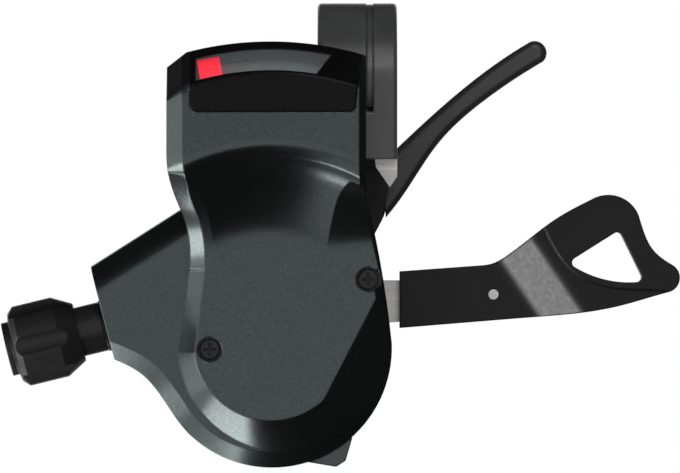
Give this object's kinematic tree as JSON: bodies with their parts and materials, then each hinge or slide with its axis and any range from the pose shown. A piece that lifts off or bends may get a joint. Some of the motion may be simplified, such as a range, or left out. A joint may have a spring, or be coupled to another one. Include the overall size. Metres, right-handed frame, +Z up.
{
  "type": "trigger gear shifter",
  "caption": "Handlebar trigger gear shifter: round pod with a raised display head, band clamp, thumb lever with a pierced pad, slim release lever and fluted cable adjuster.",
  "frame": {"origin": "centre of the handlebar clamp's bore", "axes": "+X along the handlebar, towards the levers; +Z up; +Y away from the viewer, so the display faces -Y"},
  "size_m": [0.122, 0.0484, 0.0834],
  "materials": {
    "cover_paint": "dark green-grey metallic paint, satin",
    "housing_black": "black moulded plastic, fine grain",
    "clamp_paint": "dark grey satin paint on aluminium",
    "plate_steel": "pale bare steel sheet",
    "hardware_steel": "zinc-plated steel",
    "screw_black": "blackened steel",
    "frame_black": "glossy black plastic",
    "lens_clear": "clear plastic window",
    "dial_grey": "grey plastic",
    "flag_red": "bright red plastic",
    "lever_black": "satin black coating",
    "drum_resin": "off-white resin",
    "spring_steel": "spring wire"
  },
  "bodies": {
    "housing": {"top_cover": "cover_paint", "rear_housing": "housing_black", "base_plate": "plate_steel", "clamp_band": "clamp_paint", "clamp_bolt": "hardware_steel", "clamp_nut": "hardware_steel", "bracket_rivets": "hardware_steel", "main_axle": "hardware_steel", "lever_spacer": "hardware_steel", "release_washer": "hardware_steel", "axle_washer": "hardware_steel", "axle_nut": "hardware_steel", "cover_screw_left": "screw_black", "cover_screw_right": "screw_black", "cable_port_cap": "housing_black", "indicator_frame": "frame_black", "indicator_lens": "lens_clear", "indicator_dial": "dial_grey", "needle_pivot_pin": "hardware_steel", "hold_pawl_pin": "hardware_steel", "drum_spring": "spring_steel", "lever_spring": "spring_steel"},
    "drum": {"cable_drum": "drum_resin", "ratchet_wheel": "hardware_steel", "indicator_drive_pin": "hardware_steel"},
    "needle": {"indicator_needle": "hardware_steel", "pointer_flag": "flag_red"},
    "main_lever": {"main_lever_plate": "plate_steel", "main_lever_cap": "lever_black", "cap_rivet": "hardware_steel", "feed_pawl_pin": "hardware_steel"},
    "feed_pawl": {"feed_pawl": "hardware_steel"},
    "release_lever": {"release_lever_plate": "lever_black", "release_lever_cap": "lever_black"},
    "hold_pawl": {"hold_pawl": "hardware_steel"},
    "adjuster": {"adjuster_bolt": "screw_black", "adjuster_knob": "housing_black"}
  },
  "joints": [
    {"name": "drum_turn", "type": "hinge", "parent": "housing", "child": "drum", "pos_m": [-0.0152, 0, -0.0478], "axis": [0, 1, 0], "range_deg": [0, 40]},
    {"name": "needle_swing", "type": "hinge", "parent": "housing", "child": "needle", "pos_m": [-0.0152, 0, -0.0588], "axis": [0, 1, 0], "range_deg": [0, 17]},
    {"name": "main_lever_push", "type": "hinge", "parent": "housing", "child": "main_lever", "pos_m": [-0.0152, 0, -0.0478], "axis": [0, 1, 0], "range_deg": [0, 35], "stiffness_Nm_per_rad": 0.3, "springref_deg": -17.19},
    {"name": "feed_pawl_lift", "type": "hinge", "parent": "main_lever", "child": "feed_pawl", "pos_m": [-0.02033, 0, -0.0337], "axis": [0, -1, 0], "range_deg": [0, 10], "stiffness_Nm_per_rad": 0.003, "springref_deg": -17.19},
    {"name": "release_lever_push", "type": "hinge", "parent": "housing", "child": "release_lever", "pos_m": [-0.0152, 0, -0.0478], "axis": [0, 1, 0], "range_deg": [0, 14], "stiffness_Nm_per_rad": 0.3, "springref_deg": -17.19},
    {"name": "hold_pawl_lift", "type": "hinge", "parent": "housing", "child": "hold_pawl", "pos_m": [-0.02879, 0, -0.05414], "axis": [0, 1, 0], "range_deg": [0, 10]},
    {"name": "adjuster_turn", "type": "hinge", "parent": "housing", "child": "adjuster", "pos_m": [-0.04555, -0.0006, -0.04395], "axis": [-0.9715, 0, -0.2368], "continuous": true}
  ],
  "couplings": [
    {"joint": "needle_swing", "follows": "drum_turn", "ratio": 0.42105},
    {"joint": "hold_pawl_lift", "follows": "release_lever_push", "ratio": 0.714}
  ]
}
